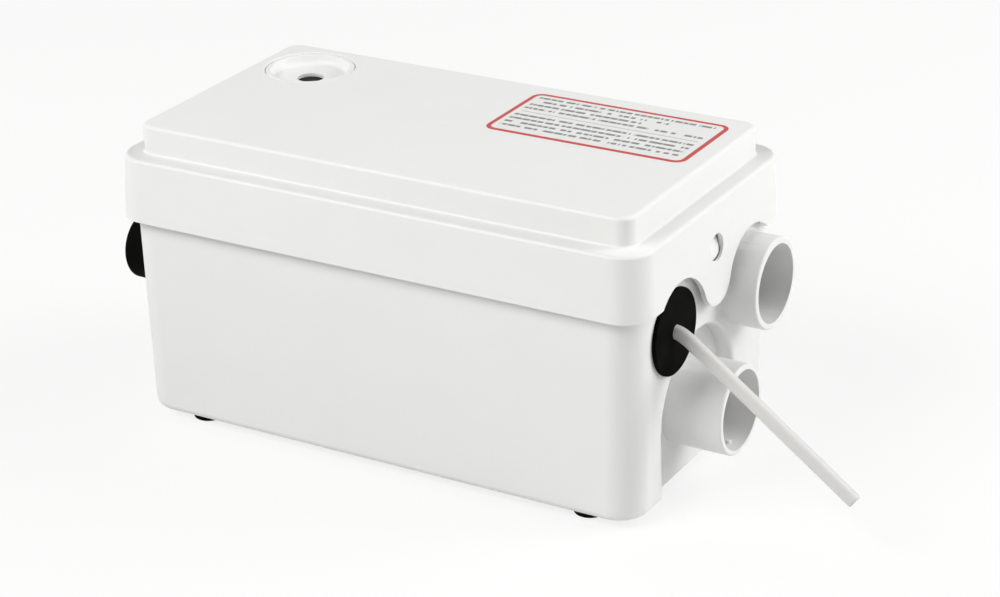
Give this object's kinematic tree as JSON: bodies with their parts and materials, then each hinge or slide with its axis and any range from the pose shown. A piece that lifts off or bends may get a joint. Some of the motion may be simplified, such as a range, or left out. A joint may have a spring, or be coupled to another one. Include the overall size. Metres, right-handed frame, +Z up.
{
  "type": "shower sump pump",
  "caption": "Floor-standing shower waste pump: tank with clip-on lid, pipe sockets, capped outlet, cord, and pump, valves and level switch inside.",
  "frame": {"origin": "middle of the box round the part without its cord, on the ground under the feet", "axes": "+X towards the pipe sockets and the cord, +Y towards the back where the vent is, +Z up"},
  "size_m": [0.4175, 0.1656, 0.1621],
  "materials": {
    "tank_plastic": "moulded white ABS, satin",
    "lid_plastic": "moulded white ABS, satin",
    "black_rubber": "matt black rubber",
    "cord_sheath": "pale grey flexible PVC",
    "gasket_rubber": "soft dark rubber",
    "filter_foam": "grey open foam",
    "deck_plastic": "moulded pale plastic",
    "box_plastic": "moulded grey plastic",
    "dark_plastic": "moulded glass-filled nylon",
    "clear_nylon": "natural nylon",
    "steel": "stainless steel",
    "motor_metal": "die-cast aluminium",
    "iron": "stacked steel sheets",
    "copper_winding": "enamelled copper wire",
    "ceramic": "carbon and ceramic",
    "capacitor_can": "pale plastic can",
    "lead_sheath": "black flexible PVC",
    "diaphragm_rubber": "brown silicone rubber",
    "button_red": "red plastic",
    "plunger_plastic": "acetal"
  },
  "bodies": {
    "tank": {"tank": "tank_plastic", "feet": "black_rubber", "lid_gasket": "gasket_rubber", "cord_grommet": "black_rubber", "mains_cord": "cord_sheath", "inner_lead": "cord_sheath", "deck": "deck_plastic", "deck_screws": "steel", "electrics_box": "box_plastic", "electrics_cover": "box_plastic", "box_screws": "steel", "terminal_block": "clear_nylon", "terminal_screws": "steel", "run_capacitor": "capacitor_can", "capacitor_clip": "steel", "motor_lead": "lead_sheath", "switch_lead": "lead_sheath", "pump_mounts": "black_rubber", "strainer": "dark_plastic", "suction_plate": "dark_plastic", "volute": "dark_plastic", "pump_backplate": "motor_metal", "pump_bolts": "steel", "seal_seat": "ceramic", "lower_bearing": "steel", "motor_housing": "motor_metal", "stator_core": "iron", "stator_winding": "copper_winding", "upper_bearing": "steel", "motor_cover": "motor_metal", "cover_screws": "steel", "outlet_hose": "black_rubber", "hose_clips": "steel", "valve_body": "clear_nylon", "valve_cap": "clear_nylon", "flap_pin": "steel", "inlet_flap_pin": "steel", "air_chamber": "clear_nylon", "switch_base": "dark_plastic", "diaphragm": "diaphragm_rubber", "switch_cover": "dark_plastic", "switch_spring": "steel", "microswitch": "dark_plastic", "lever_pin": "steel", "switch_screws": "steel"},
    "lid": {"lid": "lid_plastic", "charcoal_filter": "filter_foam"},
    "vent_cup": {"vent_cup": "lid_plastic"},
    "rotor": {"motor_shaft": "steel", "rotor_core": "iron", "impeller": "clear_nylon", "impeller_nut": "steel", "seal_ring": "ceramic"},
    "blanking_cap": {"blanking_cap": "black_rubber"},
    "check_flap": {"check_flap": "gasket_rubber"},
    "inlet_flap": {"inlet_flap": "gasket_rubber"},
    "plunger": {"switch_plunger": "plunger_plastic"},
    "lever": {"switch_lever": "steel"},
    "button": {"switch_button": "button_red"}
  },
  "joints": [
    {"name": "lid_lift", "type": "slide", "parent": "tank", "child": "lid", "axis": [0, 0, 1], "range_m": [0, 0.12]},
    {"name": "vent_cup_lift", "type": "slide", "parent": "lid", "child": "vent_cup", "axis": [0, 0, 1], "range_m": [0, 0.02]},
    {"name": "rotor_spin", "type": "hinge", "parent": "tank", "child": "rotor", "pos_m": [-0.042, -0.0059, 0.08], "axis": [0, 0, 1], "continuous": true},
    {"name": "cap_pull", "type": "slide", "parent": "tank", "child": "blanking_cap", "axis": [-1, 0, 0], "range_m": [0, 0.022]},
    {"name": "check_flap_swing", "type": "hinge", "parent": "tank", "child": "check_flap", "pos_m": [-0.10429, -0.036, 0.0675], "axis": [0, 1, 0], "range_deg": [0, 60]},
    {"name": "inlet_flap_swing", "type": "hinge", "parent": "tank", "child": "inlet_flap", "pos_m": [0.13148, -0.008, 0.0675], "axis": [0, 1, 0], "range_deg": [0, 50]},
    {"name": "plunger_rise", "type": "slide", "parent": "tank", "child": "plunger", "axis": [0, 0, 1], "range_m": [0, 0.0025], "stiffness_N_per_m": 300, "springref_m": -0.002, "deforming": ["switch_spring"]},
    {"name": "lever_swing", "type": "hinge", "parent": "tank", "child": "lever", "pos_m": [0.046, 0.038, 0.1118], "axis": [0, -1, 0], "range_deg": [0, 7.2]},
    {"name": "button_press", "type": "slide", "parent": "tank", "child": "button", "axis": [0, 0, 1], "range_m": [0, 0.0013]}
  ],
  "couplings": [
    {"joint": "lever_swing", "follows": "plunger_rise", "rad_per_m": 50},
    {"joint": "button_press", "follows": "plunger_rise", "ratio": 0.5}
  ]
}
